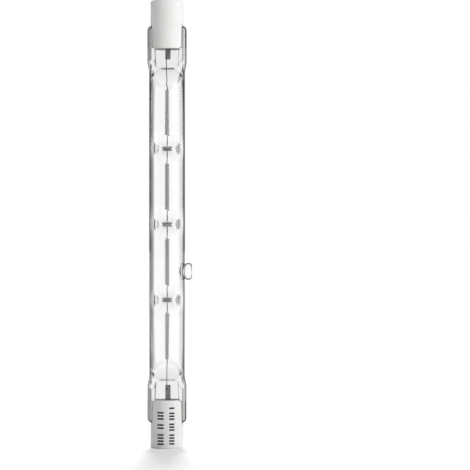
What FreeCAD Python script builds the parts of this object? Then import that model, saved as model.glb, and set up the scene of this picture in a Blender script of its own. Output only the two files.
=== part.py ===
import FreeCAD, Part
import math
import os

import Sketcher

Vector = FreeCAD.Vector

# A double-ended halogen lamp, upright on its lower cap. The origin is on the lamp's axis at the
# mouth of the lower contact recess, +Z runs along the lamp, X lies across the flat pinches and
# the sealed exhaust pip points along +X.

# Driving dimensions, in millimetres and degrees. Distances named reach, start or end are measured
# from the end of the pinch, unless the note says otherwise.
SIZES = [
    ("overall_length", 117.6, "over both ceramic caps"),
    ("cap_diameter", 8.66, "outside of a ceramic cap"),
    ("barrel_length", 6.2, "from the end of a cap to the floor of its slot"),
    ("jaw_length", 6.47, "from the slot floor to the tips of the jaws"),
    ("slot_width", 3.96, "at the slot floor"),
    ("slot_mouth_width", 4.5, "between the tips of the jaws"),
    ("jaw_corner_radius", 0.6, "rounded corners of the jaw tips, from the front"),
    ("cap_edge_bevel", 0.25, "broken rim at the end of a cap"),
    ("recess_diameter", 4.8, "bore that the holder's contact enters"),
    ("recess_depth", 1.7, "from the end of a cap to the face of its contact"),
    ("stem_hole_diameter", 2.2, "hole through the web of a cap"),
    ("contact_thickness", 0.9, "disc of a contact button"),
    ("contact_seat_diameter", 4.2, "step at the bottom of the recess that the disc lies in"),
    ("contact_clearance", 0.05, "all round the disc in its step"),
    ("stem_clearance", 0.1, "all round the stem in its hole"),
    ("weld_thickness", 0.4, "metal left at the closed end of the stem"),
    ("lead_diameter", 0.7, "outer lead wire"),
    ("lead_clearance", 0.05, "all round the lead in the stem"),
    ("lead_overlap", 2.0, "of the outer lead along the foil"),
    ("cement_bed", 0.4, "cement between the slot floor and the pinch"),
    ("cement_setback", 0.35, "of the cement below the jaw tips"),
    ("cement_inset", 0.15, "of the cement below the outside of the cap"),
    ("tube_diameter", 9.42, "outside of the quartz tube"),
    ("tube_wall", 1.0, "of the quartz tube"),
    ("pinch_width", 10.25, "over the two rails of a pinch"),
    ("pinch_corner_radius", 1.2, "corners of the pinch's end, from the front"),
    ("rail_thickness", 3.7, "of a pinch at its rails, front to back"),
    ("rail_edge_radius", 0.9, "long edges of the rails"),
    ("shoulder_start", 9.6, "reach where the rails begin to draw in to the tube"),
    ("shoulder_end", 11.4, "reach where they meet the tube"),
    ("neck_inset", 0.12, "of the drawn-in shoulder below the tube's side"),
    ("press_width", 8.56, "flat between the rails that the press leaves"),
    ("press_thickness", 2.5, "of the pinch between the rails and the window"),
    ("press_angle", 24.8, "slope of the pressed face up to the tube, from the axis"),
    ("press_reach", 16.2, "to the top of the pressed face"),
    ("window_width", 6.1, "thin plate around the foil"),
    ("window_thickness", 1.75, "of that plate"),
    ("window_reach", 10.92, "to the far edge of the plate"),
    ("window_slope", 30.0, "of its side walls, in degrees from square"),
    ("window_corner", 0.35, "bevel of its far corners"),
    ("bore_gap", 0.4, "glass between the window's edge and the closed end of the bore"),
    ("bore_end_thickness", 1.2, "of the flattened bore at its closed end"),
    ("bore_end_width", 3.2, "flat across the closed end of the bore"),
    ("bore_end_height", 2.4, "rounded part of the closed end, along the lamp"),
    ("bore_end_slope", 32.0, "of the flattened bore, from the axis"),
    ("support_shift", 0.17, "of an outer dimple past the middle of its link"),
    ("pit_nose_width", 2.6, "flat bottom of a dimple, across the lamp"),
    ("pit_nose_height", 0.3, "of that bottom, along the lamp"),
    ("pit_angle", 31.0, "slope of a dimple's four sides, from square to the lamp"),
    ("pit_web", 0.5, "glass left between the front and the back dimple"),
    ("pit_wall", 0.6, "glass round a dimple inside the bore"),
    ("pip_drop", 12.4, "of the exhaust pip below the middle of the lamp"),
    ("pip_diameter", 4.48, "widest part of the pip"),
    ("pip_neck_diameter", 3.7, "pip where it leaves the tube"),
    ("pip_height", 1.87, "of the pip above the tube's side"),
    ("pip_neck_height", 0.3, "of the neck above the tube's side"),
    ("pip_flare", 0.5, "length over which the neck widens"),
    ("pip_edge_bevel", 0.5, "melted edge of the pip's end"),
    ("pip_bore_diameter", 2.9, "closed exhaust hole under the pip"),
    ("pip_bore_height", 0.3, "of that hole above the tube's side"),
    ("wire_diameter", 0.2, "tungsten wire"),
    ("wire_clearance", 0.02, "round the wire where glass holds it"),
    ("coil_diameter", 1.2, "outside of a coil"),
    ("coil_pitch", 0.54, "of the coils"),
    ("coil_end_gap", 5.28, "from the closed end of the bore to the outer coil"),
    ("middle_link", 7.68, "straight wire between the two inner coils"),
    ("outer_link", 7.6, "straight wire between an inner and an outer coil"),
    ("coil_tail", 0.5, "bend from a coil's end to the axis"),
    ("leg_overlap", 1.5, "of the wire's end along the foil"),
    ("upper_leg_lean", -0.25, "of the upper leg at its foil, across the lamp"),
    ("lower_leg_lean", -0.05, "of the lower leg at its foil, across the lamp"),
    ("foil_width", 1.38, "molybdenum foil"),
    ("foil_thickness", 0.04, "of the foil"),
    ("foil_shift", 0.23, "of the foils to one side of the axis"),
    ("foil_start", 2.0, "reach of the foil's outer end"),
    ("upper_foil_reach", 8.76, "reach of the upper foil's inner end"),
    ("lower_foil_reach", 9.92, "reach of the lower foil's inner end"),
    ("weld_gap", 0.01, "between a foil and the wires welded to it"),
    ("cut_margin", 1.0, "that cutting solids run past what they cut"),
]

# The coils are swept along straight chords, and the wire and its channels have flat sides.
CHORDS_PER_TURN = 6
WIRE_SIDES = 4
CHANNEL_SIDES = 8

# Edges and faces this close count as being in the same place.
SAME_PLACE = 0.001

doc = FreeCAD.newDocument("LinearHalogenLamp")
sheet = doc.addObject("Spreadsheet::Sheet", "size")
for row, (alias, number, note) in enumerate(SIZES, start=1):
    sheet.set(f"A{row}", note)
    sheet.set(f"B{row}", str(number))
    sheet.setAlias(f"B{row}", alias)
doc.recompute()

# Places that several pieces share, as formulas on the sheet.
MIDDLE = "(size.overall_length / 2)"
TUBE_RADIUS = "(size.tube_diameter / 2)"
CONTACT_SEAT = "(size.recess_depth + size.contact_thickness)"
WELD_FLOOR = "(size.recess_depth + size.weld_thickness)"
CAP_LENGTH = "(size.barrel_length + size.jaw_length)"
JAW_DRAFT = "((size.slot_mouth_width - size.slot_width) / 2 / size.jaw_length)"
PINCH_END = "(size.barrel_length + size.cement_bed)"
PRESS_TOP = f"({PINCH_END} + size.press_reach)"
BORE_END = f"({PINCH_END} + size.window_reach + size.bore_gap)"
STRAIGHT = "(size.coil_end_gap + size.middle_link / 2 + size.outer_link)"
COIL_LENGTH = f"(({MIDDLE} - {BORE_END} - {STRAIGHT}) / 2)"
INNER_COIL = f"((size.middle_link + {COIL_LENGTH}) / 2)"
OUTER_COIL = f"({INNER_COIL} + {COIL_LENGTH} + size.outer_link)"
SUPPORT = f"(({INNER_COIL} + {OUTER_COIL}) / 2 + size.support_shift)"
FOIL_FRONT = "(size.lead_diameter / 2 + size.weld_gap)"


def number(formula):
    """The value of a formula on the sheet, for what is picked or built by this script."""
    return float(sheet.evalExpression(formula))


def origin_plane(body, role):
    """One of the three planes that the body owns."""
    return next(f for f in body.Origin.OriginFeatures if f.Role == role)


def new_body(name):
    body = doc.addObject("PartDesign::Body", name)
    body.Label = name
    return body


def outline(body, name, role, *loops):
    """A sketch of closed loops, each a list of corners given as a pair of formulas."""
    sketch = body.newObject("Sketcher::SketchObject", name)
    sketch.AttachmentSupport = (origin_plane(body, role), [""])
    sketch.MapMode = "FlatFace"
    for loop in loops:
        first = sketch.GeometryCount
        count = len(loop)
        # The corners start on a circle and are drawn to their places by the constraints.
        spots = [
            Vector(math.cos(2 * math.pi * i / count), math.sin(2 * math.pi * i / count), 0)
            for i in range(count)
        ]
        for i in range(count):
            sketch.addGeometry(Part.LineSegment(spots[i], spots[(i + 1) % count]))
        for i in range(count):
            following = first + (i + 1) % count
            sketch.addConstraint(Sketcher.Constraint("Coincident", first + i, 2, following, 1))
        for i, corner in enumerate(loop):
            for kind, start, formula in zip(("DistanceX", "DistanceY"), spots[i], corner):
                place = sketch.addConstraint(
                    Sketcher.Constraint(kind, -1, 1, first + i, 1, start)
                )
                sketch.setExpression(f"Constraints[{place}]", formula)
    return sketch


def revolve(body, name, sketch, axis="V_Axis"):
    turn = body.newObject("PartDesign::Revolution", name)
    turn.Profile = sketch
    turn.ReferenceAxis = (sketch, [axis])
    turn.Angle = 360
    return turn


def pad(body, name, sketch, length, both_ways=True):
    block = body.newObject("PartDesign::Pad", name)
    block.Profile = sketch
    block.Midplane = both_ways
    block.setExpression("Length", length)
    return block


def cut_through(body, name, sketch):
    """A pocket that runs through everything on both sides of its sketch."""
    pocket = body.newObject("PartDesign::Pocket", name)
    pocket.Profile = sketch
    pocket.Type = "ThroughAll"
    pocket.Midplane = True
    return pocket


def dress_edges(kind, body, name, base, wanted, size_name, formula):
    """Dress the edges of the base feature that the test picks by their place."""
    doc.recompute()
    names = [f"Edge{i}" for i, edge in enumerate(base.Shape.Edges, start=1) if wanted(edge)]
    dressed = body.newObject(f"PartDesign::{kind}", name)
    dressed.Base = (base, names)
    dressed.setExpression(size_name, formula)
    return dressed


def round_edges(body, name, base, wanted, radius):
    return dress_edges("Fillet", body, name, base, wanted, "Radius", radius)


def bevel_edges(body, name, base, wanted, width):
    return dress_edges("Chamfer", body, name, base, wanted, "Size", width)


def combine(kind, name, base, tool):
    """A boolean of two objects: Cut, Fuse or Common."""
    result = doc.addObject(f"Part::{kind}", name)
    result.Base = base
    result.Tool = tool
    result.Refine = True
    result.Label = name
    return result


def fuse_all(name, pieces):
    result = doc.addObject("Part::MultiFuse", name)
    result.Shapes = pieces
    result.Label = name
    return result


def other_end(name, source):
    """The same piece at the upper end, mirrored in the middle of the lamp."""
    mirrored = doc.addObject("Part::Mirroring", name)
    mirrored.Source = source
    mirrored.Normal = Vector(0, 0, 1)
    mirrored.setExpression("Base.z", MIDDLE)
    mirrored.Label = name
    return mirrored


def solid(name, shape):
    """A plain solid of the document, for what no feature makes."""
    feature = doc.addObject("Part::Feature", name)
    feature.Shape = shape
    feature.Label = name
    return feature


def near(first, second):
    return abs(first - second) < SAME_PLACE


def make_cap():
    """The ceramic cap: a turned barrel with a recess for the contact, slotted into two jaws."""
    body = new_body("lower_ceramic_cap")
    radius = "size.cap_diameter / 2"
    recess = "size.recess_diameter / 2"
    seat = "size.contact_seat_diameter / 2"
    hole = "size.stem_hole_diameter / 2"
    section = outline(
        body,
        "CapSection",
        "XZ_Plane",
        [
            (hole, CONTACT_SEAT),
            (seat, CONTACT_SEAT),
            (seat, "size.recess_depth"),
            (recess, "size.recess_depth"),
            (recess, "0"),
            (radius, "0"),
            (radius, CAP_LENGTH),
            (hole, CAP_LENGTH),
        ],
    )
    barrel = revolve(body, "Barrel", section)
    cap_radius = number(radius)

    def is_rim(edge):
        return near(edge.BoundBox.ZMax, 0) and near(edge.BoundBox.XMax, cap_radius)

    bevel_edges(body, "BevelledRim", barrel, is_rim, "size.cap_edge_bevel")
    mouth = f"size.slot_mouth_width / 2 + {JAW_DRAFT} * size.cut_margin"
    above = f"{CAP_LENGTH} + size.cut_margin"
    slot = outline(
        body,
        "SlotProfile",
        "YZ_Plane",
        [
            ("-size.slot_width / 2", "size.barrel_length"),
            ("size.slot_width / 2", "size.barrel_length"),
            (mouth, above),
            (f"-({mouth})", above),
        ],
    )
    cut_through(body, "Slot", slot)
    # The jaw tips are cut square here and then rounded where they show from the front.
    tip_half = "sqrt(pow(size.cap_diameter / 2; 2) - pow(size.slot_mouth_width / 2; 2))"
    inner = f"{tip_half} - size.jaw_corner_radius"
    outer = f"{radius} + size.cut_margin"
    low = f"{CAP_LENGTH} - size.jaw_corner_radius"
    corners = outline(
        body,
        "JawCorners",
        "XZ_Plane",
        [(inner, above), (inner, CAP_LENGTH), (tip_half, low), (outer, low), (outer, above)],
        [
            (f"-({inner})", above),
            (f"-({inner})", CAP_LENGTH),
            (f"-({tip_half})", low),
            (f"-({outer})", low),
            (f"-({outer})", above),
        ],
    )
    body.Tip = cut_through(body, "RoundedJaws", corners)
    return body


def make_contact():
    """The contact button: a disc with a hollow stem that the outer lead is welded into."""
    body = new_body("lower_contact_button")
    disc = "size.contact_seat_diameter / 2 - size.contact_clearance"
    stem = "size.stem_hole_diameter / 2 - size.stem_clearance"
    bore = "size.lead_diameter / 2 + size.lead_clearance"
    section = outline(
        body,
        "ContactSection",
        "XZ_Plane",
        [
            ("0", "size.recess_depth"),
            (disc, "size.recess_depth"),
            (disc, CONTACT_SEAT),
            (stem, CONTACT_SEAT),
            (stem, "size.barrel_length"),
            (bore, "size.barrel_length"),
            (bore, WELD_FLOOR),
            ("0", WELD_FLOOR),
        ],
    )
    body.Tip = revolve(body, "TurnedContact", section)
    return body


def make_lead():
    lead = doc.addObject("Part::Cylinder", "lower_outer_lead")
    lead.Label = "lower_outer_lead"
    lead.setExpression("Radius", "size.lead_diameter / 2")
    lead.setExpression(
        "Height", f"{PINCH_END} + size.foil_start + size.lead_overlap - {WELD_FLOOR}"
    )
    lead.setExpression("Placement.Base.z", WELD_FLOOR)
    return lead


def make_foil(end):
    """The thin foil that carries the current through the glass."""
    name = f"{end}_foil"
    foil = doc.addObject("Part::Box", name)
    foil.Label = name
    reach = f"size.{end}_foil_reach"
    foil.setExpression("Length", "size.foil_width")
    foil.setExpression("Width", "size.foil_thickness")
    foil.setExpression("Height", f"{reach} - size.foil_start")
    foil.setExpression("Placement.Base.x", "size.foil_shift - size.foil_width / 2")
    foil.setExpression("Placement.Base.y", FOIL_FRONT)
    if end == "lower":
        foil.setExpression("Placement.Base.z", f"{PINCH_END} + size.foil_start")
    else:
        foil.setExpression(
            "Placement.Base.z", f"size.overall_length - {PINCH_END} - {reach}"
        )
    return foil


def make_tube_half():
    """The lower half of the round tube, with the sloping faces that the press leaves on it."""
    body = new_body("tube_half")
    slope = "tan(size.press_angle * 1deg)"
    tip = f"{PRESS_TOP} - {TUBE_RADIUS} / {slope}"
    # The tube's foot is a little thinner than the pinch that it stands in.
    foot = f"{tip} + size.press_thickness / 3 / {slope}"
    section = outline(
        body,
        "TubeSection",
        "XZ_Plane",
        [("0", foot), (TUBE_RADIUS, foot), (TUBE_RADIUS, MIDDLE), ("0", MIDDLE)],
    )
    revolve(body, "Tube", section)
    side = f"{TUBE_RADIUS} + size.cut_margin"
    above = f"{PRESS_TOP} + size.cut_margin / {slope}"
    below = f"{tip} - size.cut_margin"
    wedge = outline(
        body,
        "PressSlope",
        "YZ_Plane",
        [
            ("0", tip),
            (side, above),
            (side, below),
            (f"-({side})", below),
            (f"-({side})", above),
        ],
    )
    body.Tip = cut_through(body, "PressedSlopes", wedge)
    return body


def make_pinch_plate():
    """The pinch before it is pressed flat: a plate with round edges that draws in to the tube."""
    body = new_body("pinch_plate")
    wide = "size.pinch_width / 2"
    narrow = f"{TUBE_RADIUS} - size.neck_inset"
    start = f"{PINCH_END} + size.shoulder_start"
    end = f"{PINCH_END} + size.shoulder_end"
    top = f"{end} + size.cut_margin"
    inset = "size.pinch_corner_radius"
    bevel = f"{inset} * (1 - sqrt(2) / 2)"
    right = [
        (f"{wide} - {inset}", PINCH_END),
        (f"{wide} - {bevel}", f"{PINCH_END} + {bevel}"),
        (wide, f"{PINCH_END} + {inset}"),
        (wide, start),
        (narrow, end),
        (narrow, top),
    ]
    left = [(f"-({across})", up) for across, up in reversed(right)]
    plate = pad(
        body,
        "Plate",
        outline(body, "PinchOutline", "XZ_Plane", right + left),
        "size.rail_thickness",
    )
    last = number(top)
    half = number("size.rail_thickness / 2")

    def is_long_edge(edge):
        box = edge.BoundBox
        on_face = near(abs(box.YMin), half) and near(box.YMin, box.YMax)
        return on_face and not near(box.ZMin, last)

    body.Tip = round_edges(body, "Rails", plate, is_long_edge, "size.rail_edge_radius")
    return body


def make_press():
    """What the press takes away, front and back, between the rails."""
    body = new_body("press")
    body.AllowCompound = True
    slope = "tan(size.press_angle * 1deg)"
    flat = "size.press_thickness / 2"
    side = f"{TUBE_RADIUS} + size.cut_margin"
    below = f"{PINCH_END} - size.cut_margin"
    turn = f"{PRESS_TOP} - ({TUBE_RADIUS} - {flat}) / {slope}"
    above = f"{PRESS_TOP} + size.cut_margin / {slope}"
    back = [(flat, below), (flat, turn), (side, above), (side, below)]
    front = [(f"-({across})", up) for across, up in back]
    profile = outline(body, "PressProfile", "YZ_Plane", back, front)
    body.Tip = pad(body, "PressBlock", profile, "size.press_width")
    return body


def make_windows():
    """The two shallow pockets that thin the pinch around its foil."""
    body = new_body("windows")
    body.AllowCompound = True
    half = "size.window_width / 2"
    below = f"{PINCH_END} - size.cut_margin"
    above = f"{PINCH_END} + size.window_reach"
    sketch = outline(
        body,
        "WindowOutline",
        "XZ_Plane",
        [
            (half, below),
            (half, f"{above} - size.window_corner"),
            (f"{half} - size.window_corner", above),
            (f"-({half} - size.window_corner)", above),
            (f"-{half}", f"{above} - size.window_corner"),
            (f"-{half}", below),
        ],
    )
    sketch.setExpression("AttachmentOffset.Base.z", "size.window_thickness / 2")
    front = pad(body, "FrontWindow", sketch, f"{TUBE_RADIUS}", both_ways=False)
    front.setExpression("TaperAngle", "size.window_slope * 1deg")
    body.Tip = front
    back = doc.addObject("Part::Mirroring", "back_window")
    back.Source = body
    back.Normal = Vector(0, 1, 0)
    return fuse_all("window_pair", [body, back])


def make_bore_half():
    """The lower half of the space inside the tube, flattened towards the pinch."""
    body = new_body("bore_half")
    radius = f"({TUBE_RADIUS} - size.tube_wall)"
    section = outline(
        body,
        "BoreSection",
        "XZ_Plane",
        [("0", BORE_END), (radius, BORE_END), (radius, MIDDLE), ("0", MIDDLE)],
    )
    revolve(body, "Bore", section)
    slope = "tan(size.bore_end_slope * 1deg)"
    flat = "size.bore_end_thickness / 2"
    side = f"{radius} + size.cut_margin"
    below = f"{BORE_END} - size.cut_margin"
    above = f"{BORE_END} + ({side} - {flat}) / {slope}"
    back = [(flat, below), (flat, BORE_END), (side, above), (side, below)]
    front = [(f"-({across})", up) for across, up in back]
    cut_through(body, "FlattenedBore", outline(body, "BoreSlope", "YZ_Plane", back, front))
    inner = "size.bore_end_width / 2"
    lift = f"{BORE_END} + size.bore_end_height"
    right = [(inner, below), (inner, BORE_END), (radius, lift), (side, lift), (side, below)]
    left = [(f"-({across})", up) for across, up in right]
    body.Tip = cut_through(body, "NarrowedBore", outline(body, "BoreEnd", "XZ_Plane", right, left))
    return body


def make_dimples(name, start, half_width, half_height):
    """Blunt chisel noses that widen outwards, front and back, at each of the three dimples.

    The noses start at a distance from the axis, or meet in a waist where it is none.
    """
    body = new_body(name)
    body.AllowCompound = True
    slope = "tan(size.pit_angle * 1deg)"
    side = f"{TUBE_RADIUS} + size.cut_margin"
    spread = f"({side} - {start}) * {slope}"
    loops = []
    for step in (-1, 0, 1):
        level = f"{MIDDLE} + {step} * {SUPPORT}"
        back = [
            (start, f"{level} + ({half_height})"),
            (side, f"{level} + ({half_height}) + {spread}"),
            (side, f"{level} - ({half_height}) - {spread}"),
            (start, f"{level} - ({half_height})"),
        ]
        front = [(f"-({across})", up) for across, up in back]
        if start == "0":
            loops.append(back + front[2:0:-1])
        else:
            loops += [back, front]
    sides = outline(body, f"{name}_sides", "YZ_Plane", *loops)
    pad(body, f"{name}_slopes", sides, "size.tube_diameter")
    far = "size.tube_diameter"
    right = [
        (half_width, start),
        (f"{half_width} + {spread}", side),
        (far, side),
        (far, f"-({side})"),
        (f"{half_width} + {spread}", f"-({side})"),
    ]
    if start != "0":
        right.append((half_width, f"-({start})"))
    left = [(f"-({across})", depth) for across, depth in right]
    ends = outline(body, f"{name}_plan", "XY_Plane", right, left)
    body.Tip = cut_through(body, f"{name}_ends", ends)
    return body


def make_pits():
    """What the press takes away at the dimples."""
    start = "size.pit_web / 2"
    return make_dimples("pits", start, "size.pit_nose_width / 2", "size.pit_nose_height / 2")


def make_bulges():
    """The glass that stands into the bore behind the dimples, joined in a web round the wire."""
    slope = "tan(size.pit_angle * 1deg)"
    wall = f"size.pit_wall / cos(size.pit_angle * 1deg) - size.pit_web / 2 * {slope}"
    half_width = f"size.pit_nose_width / 2 + {wall}"
    return make_dimples("bulges", "0", half_width, f"size.pit_nose_height / 2 + {wall}")


def make_pip():
    """The sealed stub of the exhaust tube, turned about its own axis."""
    body = new_body("pip")
    inside = f"{TUBE_RADIUS} - size.tube_wall / 2"
    neck = "size.pip_neck_diameter / 2"
    wide = "size.pip_diameter / 2"
    neck_top = f"{TUBE_RADIUS} + size.pip_neck_height"
    flare = f"{neck_top} + size.pip_flare"
    end = f"{TUBE_RADIUS} + size.pip_height"
    section = outline(
        body,
        "PipSection",
        "XZ_Plane",
        [
            (inside, "0"),
            (inside, neck),
            (neck_top, neck),
            (flare, wide),
            (f"{end} - size.pip_edge_bevel", wide),
            (end, f"{wide} - size.pip_edge_bevel"),
            (end, "0"),
        ],
    )
    body.Tip = revolve(body, "TurnedPip", section, axis="H_Axis")
    body.setExpression("Placement.Base.z", f"{MIDDLE} - size.pip_drop")
    return body


def make_pip_bore():
    """The closed hole under the pip."""
    body = new_body("pip_bore")
    inside = f"{TUBE_RADIUS} - size.tube_wall - size.cut_margin"
    radius = "size.pip_bore_diameter / 2"
    end = f"{TUBE_RADIUS} + size.pip_bore_height"
    section = outline(
        body,
        "PipBoreSection",
        "XZ_Plane",
        [
            (inside, "0"),
            (inside, radius),
            (end, radius),
            (end, "0"),
        ],
    )
    body.Tip = revolve(body, "TurnedHole", section, axis="H_Axis")
    body.setExpression("Placement.Base.z", f"{MIDDLE} - size.pip_drop")
    return body


def filament_route():
    """The wire's centre line from the lower foil to the upper one, and its straight stretches."""
    middle = number(MIDDLE)
    inner = number(INNER_COIL)
    outer = number(OUTER_COIL)
    length = number(COIL_LENGTH)
    tail = number("size.coil_tail")
    overlap = number("size.leg_overlap")
    depth = number("(size.lead_diameter - size.wire_diameter) / 2")
    radius = number("(size.coil_diameter - size.wire_diameter) / 2")
    chords = round(length / number("size.coil_pitch") * CHORDS_PER_TURN)
    low = number(f"{PINCH_END} + size.lower_foil_reach") - overlap
    high = number(f"size.overall_length - {PINCH_END} - size.upper_foil_reach") + overlap
    route = [Vector(number("size.lower_leg_lean"), depth, low)]
    straights = []
    for centre in (middle - outer, middle - inner, middle + inner, middle + outer):
        start = centre - length / 2
        route.append(Vector(0, 0, start - tail))
        straights.append((route[-2], route[-1]))
        for i in range(chords + 1):
            angle = 2 * math.pi * i / CHORDS_PER_TURN
            climb = start + length * i / chords
            route.append(Vector(radius * math.cos(angle), radius * math.sin(angle), climb))
        route.append(Vector(0, 0, start + length + tail))
    route.append(Vector(number("size.upper_leg_lean"), depth, high))
    straights.append((route[-2], route[-1]))
    return route, straights


def make_filament(route):
    """One wire: two legs, four coils and three straight links between them."""
    spine = solid("filament_route", Part.makePolygon(route))
    ring = doc.addObject("Part::RegularPolygon", "wire_section")
    ring.Polygon = WIRE_SIDES
    ring.setExpression("Circumradius", "size.wire_diameter / 2")
    first = (route[1] - route[0]).normalize()
    ring.Placement = FreeCAD.Placement(route[0], FreeCAD.Rotation(Vector(0, 0, 1), first))
    sweep = doc.addObject("Part::Sweep", "filament")
    sweep.Sections = [ring]
    sweep.Spine = spine
    sweep.Solid = True
    sweep.Transition = "Right corner"
    sweep.Label = "filament"
    return sweep


def make_wire_channels(straights):
    """Where glass closes round the wire: along its legs and its links."""
    clearance = number("size.wire_clearance")
    radius = (number("size.wire_diameter / 2") + clearance) / math.cos(math.pi / CHANNEL_SIDES)
    channels = []
    for start, end in straights:
        past = (end - start).normalize() * clearance
        corners = []
        for i in range(CHANNEL_SIDES + 1):
            angle = 2 * math.pi * i / CHANNEL_SIDES
            offset = Vector(radius * math.cos(angle), radius * math.sin(angle), 0)
            corners.append(start - past + offset)
        section = Part.Face(Part.makePolygon(corners))
        channels.append(solid("wire_channel", section.extrude(end - start + past * 2)))
    return fuse_all("wire_channels", channels)


def make_cement(glass_half, lead):
    """The cement that fills the slot around the pinch."""
    body = new_body("slot_fill")
    low = "size.barrel_length"
    high = f"{CAP_LENGTH} - size.cement_setback"
    root = "size.slot_width / 2"
    top = f"{root} + {JAW_DRAFT} * (size.jaw_length - size.cement_setback)"
    section = outline(
        body,
        "FillSection",
        "YZ_Plane",
        [(f"-{root}", low), (root, low), (top, high), (f"-({top})", high)],
    )
    body.Tip = pad(body, "Fill", section, "size.cap_diameter")
    rod = doc.addObject("Part::Cylinder", "fill_limit")
    rod.setExpression("Radius", "size.cap_diameter / 2 - size.cement_inset")
    rod.setExpression("Height", CAP_LENGTH)
    filled = combine("Common", "filled_slot", body, rod)
    around_glass = combine("Cut", "cement_around_glass", filled, glass_half)
    return combine("Cut", "lower_cement", around_glass, lead)


def make_envelope(glass_half, inserts):
    """The quartz envelope: one piece of glass around one closed space."""
    outside = combine("Fuse", "glass_outside", glass_half, other_end("upper_glass", glass_half))
    dimpled = combine("Cut", "dimpled_glass", outside, make_pits())
    tipped = combine("Fuse", "tipped_glass", dimpled, make_pip())
    bore_half = make_bore_half()
    bore = combine("Fuse", "bore", bore_half, other_end("upper_bore", bore_half))
    narrowed = combine("Cut", "dimpled_bore", bore, make_bulges())
    space = combine("Fuse", "inner_space", narrowed, make_pip_bore())
    hollow = combine("Cut", "hollow_glass", tipped, space)
    return combine("Cut", "quartz_envelope", hollow, fuse_all("inserts", inserts))


cap = make_cap()
contact = make_contact()
lead = make_lead()
foils = {end: make_foil(end) for end in ("lower", "upper")}
upper_lead = other_end("upper_outer_lead", lead)
route, straights = filament_route()
filament = make_filament(route)

whole_plate = combine("Fuse", "whole_plate", make_tube_half(), make_pinch_plate())
pressed = combine("Cut", "pressed_glass", whole_plate, make_press())
glass_half = combine("Cut", "glass_half", pressed, make_windows())
cement = make_cement(glass_half, lead)
inserts = [lead, upper_lead, foils["lower"], foils["upper"], make_wire_channels(straights)]
envelope = make_envelope(glass_half, inserts)

SUB_PARTS = [
    envelope,
    filament,
    foils["lower"],
    foils["upper"],
    lead,
    upper_lead,
    cap,
    other_end("upper_ceramic_cap", cap),
    contact,
    other_end("upper_contact_button", contact),
    cement,
    other_end("upper_cement", cement),
]

doc.recompute()
faults = [
    f"{thing.Name}: {thing.State}"
    for thing in doc.Objects
    if "Invalid" in thing.State or "Error" in thing.State
]
for piece in SUB_PARTS:
    if piece.Shape.isNull() or not piece.Shape.isValid():
        faults.append(f"{piece.Label}: no valid shape")
    elif len(piece.Shape.Solids) != 1:
        faults.append(f"{piece.Label}: {len(piece.Shape.Solids)} solids")
if faults:
    raise RuntimeError("; ".join(faults))

os.makedirs("parts", exist_ok=True)
for piece in SUB_PARTS:
    piece.Shape.exportStep(f"parts/{piece.Label}.step")
    print(f"{piece.Label}: {piece.Shape.Volume:.3f} mm3")
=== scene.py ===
import math

import bpy
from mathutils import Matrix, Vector


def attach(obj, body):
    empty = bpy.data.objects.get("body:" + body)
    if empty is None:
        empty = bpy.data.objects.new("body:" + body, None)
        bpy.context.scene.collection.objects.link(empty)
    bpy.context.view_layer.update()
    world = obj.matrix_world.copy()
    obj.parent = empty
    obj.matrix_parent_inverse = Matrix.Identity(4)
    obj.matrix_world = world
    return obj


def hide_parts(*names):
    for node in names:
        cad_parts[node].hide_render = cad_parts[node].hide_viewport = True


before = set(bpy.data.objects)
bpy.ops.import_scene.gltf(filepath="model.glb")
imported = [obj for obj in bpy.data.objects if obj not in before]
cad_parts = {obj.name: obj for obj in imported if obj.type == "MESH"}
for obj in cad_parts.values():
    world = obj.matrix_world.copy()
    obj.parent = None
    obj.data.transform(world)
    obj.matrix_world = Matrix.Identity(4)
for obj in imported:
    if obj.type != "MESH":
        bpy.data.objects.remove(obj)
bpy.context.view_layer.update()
scene = bpy.context.scene

# Sizes are in millimetres, and a finished piece is scaled to metres. The lamp stands upright on
# its lower cap, its axis on Z, and its flat pinches face the camera, which looks along +Y. A reach
# is a distance from either end of the lamp. The caps, cement, contacts, leads and foils keep their
# solids, and the envelope and the wire are modelled anew.
MM = 0.001
LENGTH = 117.6
MIDDLE = LENGTH / 2
CAP_R = 4.33
TUBE_R = 4.71
BORE_R = 3.71
BORE_END = 17.92       # reach of the bore's closed end
BORE_HALF = 0.12       # half of the slit that is left of the bore where it is pressed flat
BORE_SLOPE = math.tan(math.radians(32))
ROUND = 144            # sides of the tube and of its bore
PINCH_END = 6.6        # reach of the flat pinch's end, inside the cap
PINCH_HALF_W = 5.125
PINCH_CORNER = 1.2
RAIL_HALF = 1.85       # half thickness of the pinch at its two rails
RAIL_EDGE = 0.9        # rounding of the rails' long edges
PRESS_HALF = 1.25      # half thickness between the rails
PRESS_HALF_W = 4.28
PRESS_FROM = 5.0       # reach where the press starts, short of the pinch's end
PRESS_TOP = 22.8       # reach where the pressed faces run out into the round tube
PRESS_SLOPE = math.tan(math.radians(24.8))
FLANK_HALF = 0.85      # half thickness of the wedge's tip, buried in the pinch
WINDOW_HALF = 0.875    # half thickness of the thin plate around the foil
DIMPLE_GAP = 19.89     # from the middle dimple to an outer one
DIMPLES = (MIDDLE - DIMPLE_GAP, MIDDLE, MIDDLE + DIMPLE_GAP)
DIMPLE_REACH = 5.0     # how far along the tube a dimple bends the wall
PIP_Z = MIDDLE - 12.4
SAME = 1e-4            # points this close are in the same place

# Where the painted shade of the quartz changes: two radii or two reaches between which a painted
# shade fades in.
# SIDE_FACING is how far a face looks sideways, from which it fades to a side.
WALL_FADE = (4.1, 4.5)
RIM_FADE = (4.72, 4.78)
WEDGE_FADE = (PRESS_TOP - 1.0, PRESS_TOP - 5.5)
PLATE_FADE = (17.9, 16.9)
PINCH_TIP = 13.0       # from here to the end all faces take the painted shades of a side
PRESSED_PART = 22.5    # from here to the end the rims belong to the pinch
SIDE_FACING = (0.1, 0.25)
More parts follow.
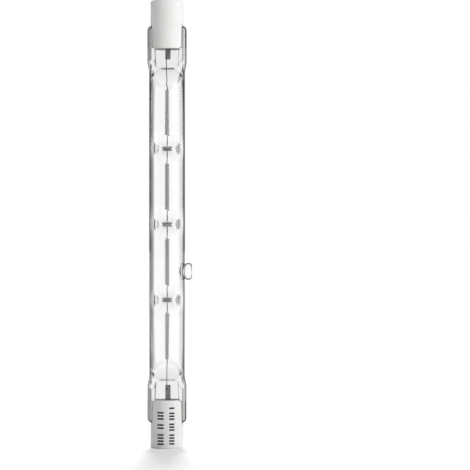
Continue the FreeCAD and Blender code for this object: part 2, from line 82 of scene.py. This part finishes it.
# The painted dark lines on the creases beside a dimple: their distance from the axis, how they bend
# inwards with the square of the height, and where they fade to their sides and upwards.
CREASE_SIDE = 3.21
CREASE_BEND = 0.07
CREASE_FADE = (0.12, 0.3)
CREASE_RISE = (1.0, 1.7)


# Modelling helpers

def start_fresh():
    if bpy.context.object and bpy.context.object.mode != "OBJECT":
        bpy.ops.object.mode_set(mode="OBJECT")
    bpy.ops.object.select_all(action="DESELECT")


def only(piece):
    start_fresh()
    piece.select_set(True)
    bpy.context.view_layer.objects.active = piece


def named(name):
    piece = bpy.context.object
    piece.name = name
    piece.data.name = name
    return piece


def edit(piece, mode="EDGE"):
    only(piece)
    bpy.ops.object.mode_set(mode="EDIT")
    bpy.ops.mesh.select_mode(type=mode)


def leave():
    bpy.ops.object.mode_set(mode="OBJECT")


def soften(piece, wanted, width, steps):
    """Round the edges that the test picks by their two ends."""
    edit(piece)
    bpy.ops.mesh.select_all(action="DESELECT")
    leave()
    points = piece.data.vertices
    for line in piece.data.edges:
        a, b = (points[i].co for i in line.vertices)
        line.select = bool(wanted(a, b))
    bpy.ops.object.mode_set(mode="EDIT")
    bpy.ops.mesh.bevel(offset=width, offset_type="OFFSET", segments=steps, affect="EDGES")
    leave()


def face_out(piece):
    edit(piece, "FACE")
    bpy.ops.mesh.select_all(action="SELECT")
    bpy.ops.mesh.normals_make_consistent(inside=False)
    leave()


def slab(name, corners, depth, far_corners=None):
    """An n-gon whose corners are put in place, extruded by a depth to its far corners."""
    start_fresh()
    bpy.ops.mesh.primitive_circle_add(vertices=len(corners), radius=1, fill_type="NGON")
    piece = named(name)
    for point, corner in zip(piece.data.vertices, corners):
        point.co = corner
    edit(piece, "FACE")
    bpy.ops.mesh.select_all(action="SELECT")
    bpy.ops.mesh.extrude_region_move(TRANSFORM_OT_translate={"value": depth})
    leave()
    if far_corners:
        for point, corner in zip(list(piece.data.vertices)[len(corners):], far_corners):
            point.co = corner
    face_out(piece)
    return piece


def across(points, half):
    """A slab through the lamp from side to side, from (depth, height) corners."""
    return [(-half, y, z) for y, z in points], (2 * half, 0, 0)


def through(points, half):
    """A slab through the lamp from front to back, from (side, height) corners."""
    return [(x, -half, z) for x, z in points], (0, 2 * half, 0)


def two_sided(right):
    """An outline from its right half, from (side, height) corners."""
    return right + [(-x, z) for x, z in reversed(right)]


def mirrored(piece, flip):
    """A mirrored copy: flip turns each point over, and the faces are turned back out."""
    only(piece)
    bpy.ops.object.duplicate()
    copy = bpy.context.object
    for point in copy.data.vertices:
        point.co = flip(point.co)
    face_out(copy)
    return copy


def end_over(p):
    return Vector((p.x, p.y, LENGTH - p.z))


def back_over(p):
    return Vector((p.x, -p.y, p.z))


def joined(name, pieces):
    start_fresh()
    for piece in pieces:
        piece.select_set(True)
    bpy.context.view_layer.objects.active = pieces[0]
    bpy.ops.object.join()
    return named(name)


def both_ends(piece):
    return joined(piece.name, [piece, mirrored(piece, end_over)])


def both_faces(piece):
    return joined(piece.name, [piece, mirrored(piece, back_over)])


def shape_with(piece, tool, kind):
    only(piece)
    change = piece.modifiers.new(kind, "BOOLEAN")
    change.object = tool
    change.operation = kind
    change.solver = "MANIFOLD"
    bpy.ops.object.modifier_apply(modifier=change.name)
    bpy.data.objects.remove(tool)


def arc(centre, radius, start, end, steps):
    """Points on a round corner, from one angle in degrees to another."""
    points = []
    for i in range(steps + 1):
        angle = math.radians(start + (end - start) * i / steps)
        points.append((centre[0] + radius * math.cos(angle), centre[1] + radius * math.sin(angle)))
    return points


def spun(name, points, centre, axis, steps):
    """A closed outline spun about an axis that it touches."""
    start_fresh()
    bpy.ops.mesh.primitive_circle_add(vertices=len(points), radius=1, fill_type="NOTHING")
    piece = named(name)
    for point, place in zip(piece.data.vertices, points):
        point.co = place
    edit(piece)
    bpy.ops.mesh.select_all(action="SELECT")
    bpy.ops.mesh.spin(
        steps=steps, angle=math.tau, center=centre, axis=axis, use_auto_merge=True
    )
    bpy.ops.mesh.select_all(action="SELECT")
    bpy.ops.mesh.remove_doubles(threshold=SAME)
    bpy.ops.mesh.dissolve_degenerate(threshold=SAME)
    bpy.ops.mesh.normals_make_consistent(inside=False)
    leave()
    return piece


def finish_piece(piece, material, smooth):
    """Scale to metres, smooth, dress and hang the piece on the lamp."""
    only(piece)
    bpy.ops.transform.resize(value=(MM, MM, MM), center_override=(0, 0, 0))
    bpy.ops.object.transform_apply(location=True, rotation=True, scale=True)
    if smooth:
        bpy.ops.object.shade_smooth_by_angle(angle=math.radians(smooth))
    piece.data.materials.clear()
    piece.data.materials.append(material)
    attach(piece, "root")


# Node helpers

def add_node(tree, kind, inputs=None, **settings):
    """A node with its settings. An input takes a plain value or another node's output."""
    node = tree.nodes.new(kind)
    for setting, value in settings.items():
        setattr(node, setting, value)
    for socket, value in (inputs or {}).items():
        if isinstance(value, bpy.types.NodeSocket):
            tree.links.new(value, node.inputs[socket])
        else:
            node.inputs[socket].default_value = value
    return node


def maths(tree, operation, *values, clamp=False):
    inputs = dict(enumerate(values))
    return add_node(
        tree, "ShaderNodeMath", inputs, operation=operation, use_clamp=clamp
    ).outputs[0]


def fade(tree, value, low, high, start=0.0, end=1.0, curve="LINEAR"):
    """Goes from start to end while the value goes from low to high."""
    inputs = {"Value": value, "From Min": low, "From Max": high, "To Min": start, "To Max": end}
    return add_node(
        tree, "ShaderNodeMapRange", inputs, interpolation_type=curve
    ).outputs["Result"]


def either(tree, mask, off, on):
    """One colour where the mask is 0 and the other where it is 1."""
    inputs = {"Factor": mask, "A": off, "B": on}
    return add_node(tree, "ShaderNodeMix", inputs, data_type="RGBA").outputs["Result"]


def mixed(tree, mask, off, on):
    """The same for two shaders."""
    return add_node(tree, "ShaderNodeMixShader", {0: mask, 1: off, 2: on}).outputs[0]


def new_group(name, inputs, outputs):
    """A node group with its inputs (name and start value) and its masks or shades."""
    tree = bpy.data.node_groups.new(name, "ShaderNodeTree")
    for label, preset in inputs:
        kind = "NodeSocketVector" if preset is None else "NodeSocketFloat"
        socket = tree.interface.new_socket(label, in_out="INPUT", socket_type=kind)
        if preset is not None:
            socket.default_value = preset
    for label in outputs:
        tree.interface.new_socket(label, in_out="OUTPUT", socket_type="NodeSocketFloat")
    return tree, tree.nodes.new("NodeGroupInput").outputs


# Materials

def grain_group():
    """Fine fired or drawn grain with soft stains: a shade, a mask and a height."""
    tree, given = new_group(
        "surface grain",
        [("Object", None), ("Fine", 2500.0), ("Broad", 120.0)],
        ["Grain", "Stain", "Height"],
    )
    fine, broad = (
        add_node(
            tree, "ShaderNodeTexNoise",
            {"Vector": given["Object"], "Scale": given[size], "Detail": detail},
        ).outputs["Fac"]
        for size, detail in (("Fine", 4), ("Broad", 3))
    )
    pore_size = maths(tree, "MULTIPLY", given["Fine"], 0.4)
    pores = add_node(
        tree, "ShaderNodeTexVoronoi", {"Vector": given["Object"], "Scale": pore_size}
    )
    pits = fade(tree, pores.outputs["Distance"], 0.0, 0.25)
    height = maths(tree, "MULTIPLY_ADD", fine, 0.6, pits)
    add_node(tree, "NodeGroupOutput", {"Grain": fine, "Stain": broad, "Height": height})
    return tree


GRAIN = grain_group()


def blank_material(name):
    material = bpy.data.materials.new(name)
    material.use_nodes = True
    tree = material.node_tree
    tree.nodes.clear()
    shader = tree.nodes.new("ShaderNodeBsdfPrincipled")
    add_node(tree, "ShaderNodeOutputMaterial", {"Surface": shader.outputs["BSDF"]})
    return material, tree, shader


def with_grain(name, dark, light, rough, fine, broad, bump, metallic=0.0):
    """A material whose colour, gloss and relief follow the shared grain."""
    material, tree, shader = blank_material(name)
    place = add_node(tree, "ShaderNodeTexCoord").outputs["Object"]
    grain = add_node(
        tree, "ShaderNodeGroup", {"Object": place, "Fine": fine, "Broad": broad}, node_tree=GRAIN
    ).outputs
    stain = fade(tree, grain["Stain"], 0.3, 0.7)
    strength, distance = bump
    relief = add_node(
        tree, "ShaderNodeBump",
        {"Strength": strength, "Distance": distance, "Height": grain["Height"]},
    )
    tree.links.new(either(tree, stain, (*dark, 1), (*light, 1)), shader.inputs["Base Color"])
    tree.links.new(fade(tree, grain["Grain"], 0.0, 1.0, *rough), shader.inputs["Roughness"])
    tree.links.new(relief.outputs["Normal"], shader.inputs["Normal"])
    shader.inputs["Metallic"].default_value = metallic
    return material


# How light the painted shade makes the glass, from square on (0) to grazing (1): colour that darkens
# it towards its edges in place of shade. The first is for the bore and the dimples, then the round
# outer wall, the sloping and flat faces of the pinches, and their sides.
CLEAR_PAINTED_SHADES = ((0.0, 0.99), (0.55, 0.97), (0.72, 0.7), (0.8, 0.2), (0.9, 0.03))
WALL_PAINTED_SHADES = ((0.0, 0.99), (0.3, 0.96), (0.42, 0.72), (0.5, 0.22), (0.6, 0.007), (0.75, 0.003),
               (0.95, 0.03))
PRESSED_PAINTED_SHADES = ((0.0, 0.84), (0.3, 0.93), (0.62, 0.93), (0.75, 0.42), (0.9, 0.12))
SIDE_PAINTED_SHADES = ((0.0, 0.86), (0.04, 0.7), (0.1, 0.3), (0.35, 0.12), (0.6, 0.09), (0.8, 0.03),
               (1.0, 0.01))
# A pale painted shade for the side faces at each end of the bore.
BORE_END_PAINTED_SHADE = (0.93, 0.933, 0.936, 1)
# A dark painted line on the creases beside each dimple.
CREASE_PAINTED_SHADE = (0.3, 0.302, 0.304, 1)


def painted_edge_ramp(tree, facing, stops):
    """A painted shade for each angle between the surface and the line of sight."""
    node = add_node(tree, "ShaderNodeValToRGB", {"Fac": facing})
    marks = node.color_ramp.elements
    while len(marks) < len(stops):
        marks.new(1.0)
    for mark, (place, shade) in zip(marks, stops):
        mark.position = place
        mark.color = (shade, shade * 1.003, shade * 1.006, 1)
    return node.outputs["Color"]


def zone_group():
    """Masks on the glass for its painted shades: the outer wall, the pinches and their sides, bore
    ends and creases.
    """
    tree, given = new_group(
        "glass zones",
        [("Object", None), ("Facing", None)],
        ["Round wall", "Pinch", "Pinch side", "Bore end", "Dimple painted shade"],
    )
    place = add_node(tree, "ShaderNodeSeparateXYZ", {0: given["Object"]}).outputs
    flat = add_node(
        tree, "ShaderNodeVectorMath", {0: given["Object"], 1: (1, 1, 0)}, operation="MULTIPLY"
    )
    radius = add_node(
        tree, "ShaderNodeVectorMath", {0: flat.outputs[0]}, operation="LENGTH"
    ).outputs["Value"]
    wall = fade(tree, radius, *(r * MM for r in WALL_FADE))
    from_middle = maths(tree, "ABSOLUTE", maths(tree, "SUBTRACT", place["Z"], MIDDLE * MM))

    def past(reaches):
        return fade(tree, from_middle, *((MIDDLE - reach) * MM for reach in reaches))

    normal = add_node(tree, "ShaderNodeSeparateXYZ", {0: given["Facing"]}).outputs
    side = fade(tree, maths(tree, "ABSOLUTE", normal["X"]), *SIDE_FACING)
    tip = maths(tree, "GREATER_THAN", from_middle, (MIDDLE - PINCH_TIP) * MM)
    # On the wedge only the sloping faces belong to the pinch, further out all of it does, and so
    # do the rims that stand out past the round tube, up to where they end.
    sloping = maths(tree, "MULTIPLY", past(WEDGE_FADE), maths(tree, "SUBTRACT", 1.0, side))
    plate = past(PLATE_FADE)
    near_end = maths(tree, "GREATER_THAN", from_middle, (MIDDLE - PRESSED_PART) * MM)
    rims = maths(tree, "MULTIPLY", fade(tree, radius, *(r * MM for r in RIM_FADE)), near_end)
    pinch = maths(tree, "MAXIMUM", maths(tree, "MAXIMUM", sloping, plate), rims)
    inside = maths(tree, "SUBTRACT", maths(tree, "SUBTRACT", near_end, wall), plate)
    bore_end = maths(tree, "MULTIPLY", maths(tree, "MAXIMUM", inside, 0.0), side)
    # A painted dark line on the upright creases where each dimple runs out into the round wall.
    from_outer = maths(
        tree, "ABSOLUTE", maths(tree, "SUBTRACT", from_middle, DIMPLE_GAP * MM)
    )
    rise = maths(tree, "MINIMUM", from_middle, from_outer)
    bend = maths(tree, "MULTIPLY", maths(tree, "MULTIPLY", rise, rise), CREASE_BEND / MM)
    crease_x = maths(tree, "SUBTRACT", CREASE_SIDE * MM, bend)
    off = maths(tree, "SUBTRACT", maths(tree, "ABSOLUTE", place["X"]), crease_x)
    beside = fade(tree, maths(tree, "ABSOLUTE", off), *(x * MM for x in CREASE_FADE), 1.0, 0.0)
    level = fade(tree, rise, *(z * MM for z in CREASE_RISE), 1.0, 0.0)
    add_node(tree, "NodeGroupOutput", {
        "Round wall": wall,
        "Pinch": pinch,
        "Pinch side": maths(tree, "MAXIMUM", side, tip),
        "Bore end": bore_end,
        "Dimple painted shade": maths(tree, "MULTIPLY", beside, level),
    })
    return tree


def fused_quartz():
    """Clear quartz with painted shade in its colour, darker towards its grazing edges, and faint
    draw waves.
    """
    material, tree, shader = blank_material("fused quartz")
    shader.inputs["Roughness"].default_value = 0.0
    shader.inputs["IOR"].default_value = 1.458
    shader.inputs["Transmission Weight"].default_value = 1.0
    place = add_node(tree, "ShaderNodeTexCoord").outputs
    zones = add_node(
        tree, "ShaderNodeGroup", {"Object": place["Object"], "Facing": place["Normal"]},
        node_tree=zone_group(),
    ).outputs
    facing = add_node(tree, "ShaderNodeLayerWeight", {"Blend": 0.5}).outputs["Facing"]
    clear, wall, pressed, sides = (
        painted_edge_ramp(tree, facing, stops)
        for stops in (CLEAR_PAINTED_SHADES, WALL_PAINTED_SHADES, PRESSED_PAINTED_SHADES, SIDE_PAINTED_SHADES)
    )
    # The painted shade: a grey ramp for each zone of the glass, mixed by the zone masks.
    pinch = either(tree, zones["Pinch side"], pressed, sides)
    tube = either(tree, zones["Round wall"], clear, wall)
    painted_shade = either(tree, zones["Pinch"], tube, pinch)
    # A pale painted shade on the side faces at the bore's ends.
    painted_shade = either(tree, zones["Bore end"], painted_shade, BORE_END_PAINTED_SHADE)
    # A painted dark line on the creases beside each dimple.
    painted_shade = either(tree, zones["Dimple painted shade"], painted_shade, CREASE_PAINTED_SHADE)
    tree.links.new(painted_shade, shader.inputs["Base Color"])
    drawn = add_node(
        tree, "ShaderNodeMapping", {"Vector": place["Object"], "Scale": (1.0, 1.0, 0.12)}
    )
    wave = add_node(
        tree, "ShaderNodeTexNoise", {"Vector": drawn.outputs["Vector"], "Scale": 420}
    )
    relief = add_node(
        tree, "ShaderNodeBump",
        {"Strength": 0.05, "Distance": 0.0001, "Height": wave.outputs["Fac"]},
    )
    tree.links.new(relief.outputs["Normal"], shader.inputs["Normal"])
    return material


QUARTZ = fused_quartz()
# Dark and light colour, gloss range, fine and broad grain, strength and depth of the relief.
CERAMIC = with_grain(
    "unglazed ceramic", (0.8, 0.795, 0.78), (0.87, 0.868, 0.86), (0.7, 0.85), 5200, 160,
    (0.25, 0.00004),
)
CEMENT = with_grain(
    "lamp cement", (0.6, 0.59, 0.56), (0.78, 0.77, 0.74), (0.8, 0.95), 3000, 500, (0.7, 0.0001)
)
NICKEL = with_grain(
    "plated contact", (0.5, 0.48, 0.45), (0.62, 0.6, 0.57), (0.22, 0.42), 3500, 300,
    (0.2, 0.00002), metallic=1.0,
)
MOLYBDENUM = with_grain(
    "molybdenum", (0.3, 0.3, 0.305), (0.4, 0.4, 0.405), (0.45, 0.65), 4000, 400,
    (0.3, 0.00002), metallic=1.0,
)
TUNGSTEN = with_grain(
    "tungsten wire", (0.03, 0.03, 0.03), (0.07, 0.07, 0.072), (0.35, 0.55), 9000, 900,
    (0.2, 0.00001), metallic=1.0,
)
INK = with_grain(
    "printing ink", (0.01, 0.01, 0.011), (0.03, 0.03, 0.031), (0.6, 0.8), 6000, 900,
    (0.1, 0.00001),
)


# Quartz envelope

def ring_levels(low, high):
    """Heights of the rings of a tube, close together at each dimple."""
    steps = (0, 0.07, 0.14, 0.22, 0.3, 0.39, 0.48, 0.58, 0.7, 0.84, 1.0, 1.2, 1.45, 1.75, 2.1,
             2.5, 3.0, 3.6, 4.3, DIMPLE_REACH)
    levels = [low, high]
    for level in DIMPLES:
        levels += [level + step for step in steps] + [level - step for step in steps[1:]]
    return sorted(levels)


def pressed_rod(name, radius, low, high, waist, land, spread):
    """A round rod squeezed from front and back at each dimple, down to a waist.

    land is the flat at the waist, along and across the rod, and spread how fast the dent opens.
    """
    outline = [(0, 0, low)] + [(radius, 0, z) for z in ring_levels(low, high)] + [(0, 0, high)]
    piece = spun(name, outline, (0, 0, 0), (0, 0, 1), ROUND)
    for point in piece.data.vertices:
        for level in DIMPLES:
            rise = abs(point.co.z - level)
            if rise < DIMPLE_REACH:
                # The dent is longer along the rod away from its middle line.
                widen = 0.8 + 0.95 * (1 - math.exp(-point.co.x ** 2 / 5))
                along = (math.hypot(rise, land) - land) / spread[0] / widen
                aside = (math.hypot(point.co.x, land) - land) / spread[1]
                dent = (1 - (rise / DIMPLE_REACH) ** 2) ** 2 / (1 + along ** 2.4 + aside ** 2.2)
                point.co.y *= 1 - (1 - waist / radius) * dent
    piece.data.update()
    return piece


def side_profile(tip_half, tip, slope, top):
    """The lamp seen from the side, between the sloping faces of its two ends."""
    reach = top + 1.0
    wide = tip_half + (reach - tip) * slope
    return two_sided(
        [(tip_half, tip), (wide, reach), (wide, LENGTH - reach), (tip_half, LENGTH - tip)]
    )


def pinch_plate():
    """One pinch before pressing: round corners at its end and round long edges."""
    turn = (PINCH_HALF_W - PINCH_CORNER, PINCH_END + PINCH_CORNER)
    right = arc(turn, PINCH_CORNER, -90, 0, 8)
    right += [(PINCH_HALF_W, 15.9), (5.07, 16.6), (4.92, 17.4), (4.74, 18.3), (4.56, 19.2)]
    right += [(4.36, 20.2), (4.1, 21.4), (3.8, 22.5)]
    plate = slab("pinch plate", *through(two_sided(right), RAIL_HALF))
    top = right[-1][1] - 0.1

    def is_long_edge(a, b):
        flat = abs(abs(a.y) - RAIL_HALF) < SAME and abs(a.y - b.y) < SAME
        return flat and not (a.z > top and b.z > top)

    soften(plate, is_long_edge, RAIL_EDGE, 6)
    return plate


def press():
    """The room that the press takes from one face of a pinch, up to the round tube."""
    turn = PRESS_TOP - (TUBE_R - PRESS_HALF) / PRESS_SLOPE
    over = 6.0
    top = turn + (over - PRESS_HALF) / PRESS_SLOPE
    face = [(PRESS_HALF, PRESS_FROM), (PRESS_HALF, turn), (over, top), (over, PRESS_FROM)]
    room = slab("press", *across(face, PRESS_HALF_W))

    def is_inner_edge(a, b):
        at_side = abs(abs(a.x) - PRESS_HALF_W) < SAME and abs(a.x - b.x) < SAME
        return at_side and abs(a.y - PRESS_HALF) < SAME and abs(b.y - PRESS_HALF) < SAME

    soften(room, is_inner_edge, 0.3, 4)
    return room


def window():
    """The tapered pocket that thins the pinch around its foil."""
    half, narrow, top, rise, corner = 3.05, 2.86, 17.52, 3.0, 0.55
    shoulder = 13.4

    def ring(depth, wider, flare, higher):
        right = [(half + wider, PRESS_FROM), (half + wider, shoulder)]
        for i in range(7):
            angle = math.radians(15 * i)
            right.append((
                narrow - corner + (corner + flare) * math.cos(angle),
                top - corner + (corner + higher) * math.sin(angle),
            ))
        return [(x, depth, z) for x, z in two_sided(right)]

    wider, flare, higher = (rise * math.tan(math.radians(a)) for a in (30, 13, 8))
    return slab("window", ring(WINDOW_HALF, 0, 0, 0), (0, rise, 0),
                ring(WINDOW_HALF + rise, wider, flare, higher))


def glass_outside():
    tip = PRESS_TOP - (TUBE_R - FLANK_HALF) / PRESS_SLOPE
    tube = pressed_rod(
        "quartz_envelope", TUBE_R, tip, LENGTH - tip, waist=0.25, land=0, spread=(1.1, 1.9)
    )
    flanks = slab("flanks", *across(side_profile(FLANK_HALF, tip, PRESS_SLOPE, PRESS_TOP), 6))
    shape_with(tube, flanks, "INTERSECT")
    shape_with(tube, both_ends(pinch_plate()), "UNION")
    shape_with(tube, both_ends(both_faces(press())), "DIFFERENCE")
    shape_with(tube, both_ends(both_faces(window())), "DIFFERENCE")
    return tube


def turned_about_x(name, profile):
    """A profile of (reach, radius) corners spun about the exhaust pip's own axis."""
    points = [(reach, 0, PIP_Z + radius) for reach, radius in profile]
    return spun(name, points, (0, 0, PIP_Z), (1, 0, 0), 64)


def exhaust_pip():
    face = TUBE_R
    profile = [(face - 0.5, 0), (face - 0.5, 1.86), (face + 0.02, 1.86), (face + 0.12, 1.91)]
    profile += [(face + 0.22, 2.03), (face + 0.34, 2.14), (face + 0.5, 2.22), (face + 0.7, 2.24)]
    profile += [
        (face + 1.05 + 0.82 * math.sin(math.radians(a)), 1.44 + 0.8 * math.cos(math.radians(a)))
        for a in (0, 15, 30, 45, 60, 75, 90)
    ]
    profile.append((face + 1.87, 0))
    return turned_about_x("pip", profile)


def exhaust_hole():
    face = TUBE_R
    profile = [(BORE_R - 1, 0), (BORE_R - 1, 1.45), (face - 0.1, 1.45)]
    profile += [(face + 0.12, 1.38), (face + 0.25, 1.2), (face + 0.32, 0.8), (face + 0.35, 0.3)]
    profile.append((face + 0.35, 0))
    return turned_about_x("hole", profile)


def inner_space():
    """The sealed bore: pressed at the dimples, flat and rounded at its ends, open to the pip."""
    space = pressed_rod(
        "inner space", BORE_R, BORE_END, LENGTH - BORE_END,
        waist=BORE_HALF, land=0.42, spread=(1.1, 1.75),
    )
    run_out = BORE_END + (BORE_R - BORE_HALF) / BORE_SLOPE
    profile = side_profile(BORE_HALF, BORE_END, BORE_SLOPE, run_out)
    shape_with(space, slab("flanks", *across(profile, 5)), "INTERSECT")
    rounded = [(1.6, BORE_END), (2.4, 18.3), (3.0, 19.0), (3.4, 19.9), (3.62, 21.0), (3.73, 22.4)]
    ends = two_sided(rounded + [(x, LENGTH - z) for x, z in reversed(rounded)])
    shape_with(space, slab("rounded ends", *through(ends, 5)), "INTERSECT")
    shape_with(space, exhaust_hole(), "UNION")
    return space


def quartz_envelope():
    glass = glass_outside()
    shape_with(glass, exhaust_pip(), "UNION")
    shape_with(glass, inner_space(), "DIFFERENCE")
    finish_piece(glass, QUARTZ, smooth=28)
    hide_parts("quartz_envelope")


# Filament

WIRE_R = 0.1
COIL_R = 0.54          # of the wire's centre line
COIL_PITCH = 0.54
COIL_LENGTH = 12.08
TURN_POINTS = 16
COILS = (MIDDLE - 29.56, MIDDLE - 9.88, MIDDLE + 9.88, MIDDLE + 29.56)


def coil_route(start):
    """One coil, with the bends that lead its wire from the axis and back to it."""
    route = [(0.0, 0.0, start - 1.0), (0.02, 0.0, start - 0.45), (0.2, 0.02, start - 0.18)]
    steps = round(COIL_LENGTH / COIL_PITCH * TURN_POINTS)
    for i in range(steps + 1):
        angle = math.tau * i / TURN_POINTS
        route.append(
            (COIL_R * math.cos(angle), COIL_R * math.sin(angle), start + COIL_LENGTH * i / steps)
        )
    x, y, end = route[-1]
    route += [(x * 0.6, y * 0.6, end + 0.18), (0.05, 0.0, end + 0.45), (0.0, 0.0, end + 1.0)]
    return route


def filament():
    """One round wire, bevelled along its route: legs, four coils and their links."""
    lower_leg = [(-0.05, 0.25, 15.02), (-0.04, 0.2, 16.4), (-0.03, 0.12, 18.5), (-0.02, 0.03, 21.0)]
    upper_leg = [(-0.03, 0.03, 96.6), (-0.1, 0.12, 99.1), (-0.18, 0.2, 101.6), (-0.25, 0.25, 103.74)]
    route = list(lower_leg)
    for centre in COILS:
        route += coil_route(centre - COIL_LENGTH / 2)
    route += upper_leg
    curve = bpy.data.curves.new("filament", "CURVE")
    curve.dimensions = "3D"
    line = curve.splines.new("POLY")
    line.points.add(len(route) - 1)
    for point, place in zip(line.points, route):
        point.co = (*place, 1)
    curve.bevel_depth = WIRE_R
    curve.bevel_resolution = 2
    curve.use_fill_caps = True
    wire = bpy.data.objects.new("filament_wire", curve)
    scene.collection.objects.link(wire)
    only(wire)
    bpy.ops.object.convert(target="MESH")
    wire = named("filament_wire")
    finish_piece(wire, TUNGSTEN, smooth=60)
    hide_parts("filament")


# Marks on the lower cap

MARK_HEIGHT = 0.44
INK_R = CAP_R + 0.008
# Place across the cap, width and heights of the strokes of each row.
MARK_ROWS = (
    (-1.65, 1.8, (1.3, 2.1, 2.9, 3.7, 5.5, 6.3, 7.9, 8.7, 9.5)),
    (1.42, 1.4, (1.4, 2.15, 2.9, 3.65, 5.0, 5.75, 6.5, 7.85, 8.6, 9.35, 10.7)),
)


def cap_marks():
    """Two rows of plain ink strokes, wrapped round the front of the lower cap."""
    strokes = []
    for side, width, heights in MARK_ROWS:
        for z in heights:
            start_fresh()
            bpy.ops.mesh.primitive_grid_add(
                x_subdivisions=8, y_subdivisions=2, size=1,
                location=(side, 0, z), rotation=(math.pi / 2, 0, 0),
            )
            bpy.ops.transform.resize(value=(width, 1, MARK_HEIGHT))
            bpy.ops.object.transform_apply(location=True, rotation=True, scale=True)
            strokes.append(bpy.context.object)
    marks = joined("cap_marks", strokes)
    for point in marks.data.vertices:
        angle = point.co.x / CAP_R
        point.co.x = INK_R * math.sin(angle)
        point.co.y = -INK_R * math.cos(angle)
    marks.data.update()
    finish_piece(marks, INK, smooth=0)


def dress_solids():
    """Give each solid that is kept the finish of its material."""
    finishes = {
        "ceramic_cap": CERAMIC,
        "contact_button": NICKEL,
        "cement": CEMENT,
        "outer_lead": MOLYBDENUM,
        "foil": MOLYBDENUM,
    }
    for end in ("lower", "upper"):
        for part, material in finishes.items():
            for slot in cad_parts[f"{end}_{part}"].material_slots:
                slot.material = material


# Stage, light and camera

WHITE = (1, 1, 1, 1)
ROOM_FILL = 0.34       # light that the room throws on the lamp
ROOM_GLOSS = 0.3       # what metal and ceramic mirror of it
FLOOR_GLOW = 0.31      # lifts the floor to white where it is seen
# Bearing from straight behind the lamp, half width and shade of each grey strip of the room.
ROOM_STRIPS = ((-44, 15, 0.4), (130, 20, 0.38))
# The room darkens to this shade overhead, between two heights of the line of sight.
CEILING = (0.55, 0.8, 0.4)
CAMERA_AT = (17.9, -540, MIDDLE - 2.8)
LENS = 157


def seen_directly(tree):
    """1 for what the camera, a reflection or a refraction sees, 0 for light on a surface."""
    path = add_node(tree, "ShaderNodeLightPath").outputs
    seen = maths(tree, "MAXIMUM", path["Is Camera Ray"], path["Is Glossy Ray"])
    return maths(tree, "MAXIMUM", seen, path["Is Transmission Ray"])


def studio_panels(tree, coordinates):
    """A white room as the glass sees it, with soft grey strips to the sides, for clear edges."""
    place = add_node(tree, "ShaderNodeTexCoord").outputs[coordinates]
    way = add_node(tree, "ShaderNodeSeparateXYZ", {0: place}).outputs
    bearing = maths(tree, "ARCTAN2", way["X"], way["Y"])
    low, high, dark = CEILING
    room = fade(tree, way["Z"], low, high, 1.0, dark)
    for angle, half_width, shade in ROOM_STRIPS:
        nearness = maths(tree, "COSINE", maths(tree, "SUBTRACT", bearing, math.radians(angle)))
        outer, inner = (math.cos(math.radians(half_width * part)) for part in (1.5, 0.5))
        strip = fade(tree, nearness, outer, inner, 1.0, shade, curve="SMOOTHSTEP")
        room = maths(tree, "MULTIPLY", room, strip)
    return room


def background(tree, colour, strength=1.0):
    inputs = {"Color": colour, "Strength": strength}
    return add_node(tree, "ShaderNodeBackground", inputs).outputs[0]


def set_world():
    """A pale room: white to the camera, striped to the glass and dim in what is glossy."""
    world = bpy.data.worlds.new("pale studio")
    scene.world = world
    world.use_nodes = True
    tree = world.node_tree
    tree.nodes.clear()
    path = add_node(tree, "ShaderNodeLightPath").outputs
    striped = background(tree, studio_panels(tree, "Generated"))
    direct = mixed(tree, path["Is Camera Ray"], striped, background(tree, WHITE))
    glossy = maths(
        tree, "SUBTRACT", path["Is Glossy Ray"], path["Is Transmission Ray"], clamp=True
    )
    seen = mixed(tree, glossy, direct, background(tree, WHITE, ROOM_GLOSS))
    room = mixed(tree, seen_directly(tree), background(tree, WHITE, ROOM_FILL), seen)
    add_node(tree, "ShaderNodeOutputWorld", {"Surface": room})


def floor():
    """White paper, which shows the grey strips of the room to the glass alone."""
    start_fresh()
    bpy.ops.mesh.primitive_plane_add(size=12, location=(0, 0, 0))
    ground = named("floor")
    material = bpy.data.materials.new("white floor")
    material.use_nodes = True
    tree = material.node_tree
    tree.nodes.clear()
    paper = add_node(tree, "ShaderNodeBsdfDiffuse", {"Color": (0.8, 0.8, 0.8, 1)})
    glow = add_node(
        tree, "ShaderNodeEmission",
        {"Color": (FLOOR_GLOW, FLOOR_GLOW, FLOOR_GLOW, 1), "Strength": seen_directly(tree)},
    )
    lit = add_node(tree, "ShaderNodeAddShader", {0: paper.outputs[0], 1: glow.outputs[0]})
    striped = add_node(
        tree, "ShaderNodeEmission", {"Strength": studio_panels(tree, "Object")}
    )
    path = add_node(tree, "ShaderNodeLightPath").outputs
    surface = mixed(tree, path["Is Transmission Ray"], lit.outputs[0], striped.outputs[0])
    add_node(tree, "ShaderNodeOutputMaterial", {"Surface": surface})
    ground.data.materials.append(material)


def add_light(name, kind, power, aim, place=(0, 0, 0), **settings):
    light = bpy.data.lights.new(name, kind)
    light.energy = power
    for setting, value in settings.items():
        setattr(light, setting, value)
    piece = bpy.data.objects.new(name, light)
    scene.collection.objects.link(piece)
    piece.location = place
    piece.rotation_euler = Vector(aim).to_track_quat("-Z", "Y").to_euler()
    piece.visible_camera = False
    piece.visible_transmission = False
    return piece


def set_lights():
    """A soft window to the right, and a light overhead for the small shadow in front."""
    add_light(
        "key light", "AREA", 2.25, (-0.42, 0.3, 0), place=(0.42, -0.3, 0.06),
        shape="RECTANGLE", size=0.3, size_y=0.4,
    )
    overhead = add_light(
        "overhead light", "SUN", 2.2, (0, -0.75, -1), angle=math.radians(13)
    )
    overhead.visible_glossy = False


def set_camera():
    view = bpy.data.cameras.new("camera")
    view.sensor_width = 36
    view.lens = LENS
    view.clip_start = 0.01
    view.clip_end = 50
    piece = bpy.data.objects.new("camera", view)
    scene.collection.objects.link(piece)
    piece.location = [distance * MM for distance in CAMERA_AT]
    piece.rotation_euler = (math.radians(90), 0, 0)
    scene.camera = piece


quartz_envelope()
filament()
cap_marks()
dress_solids()
set_world()
floor()
set_lights()
set_camera()
scene.view_settings.view_transform = "Standard"
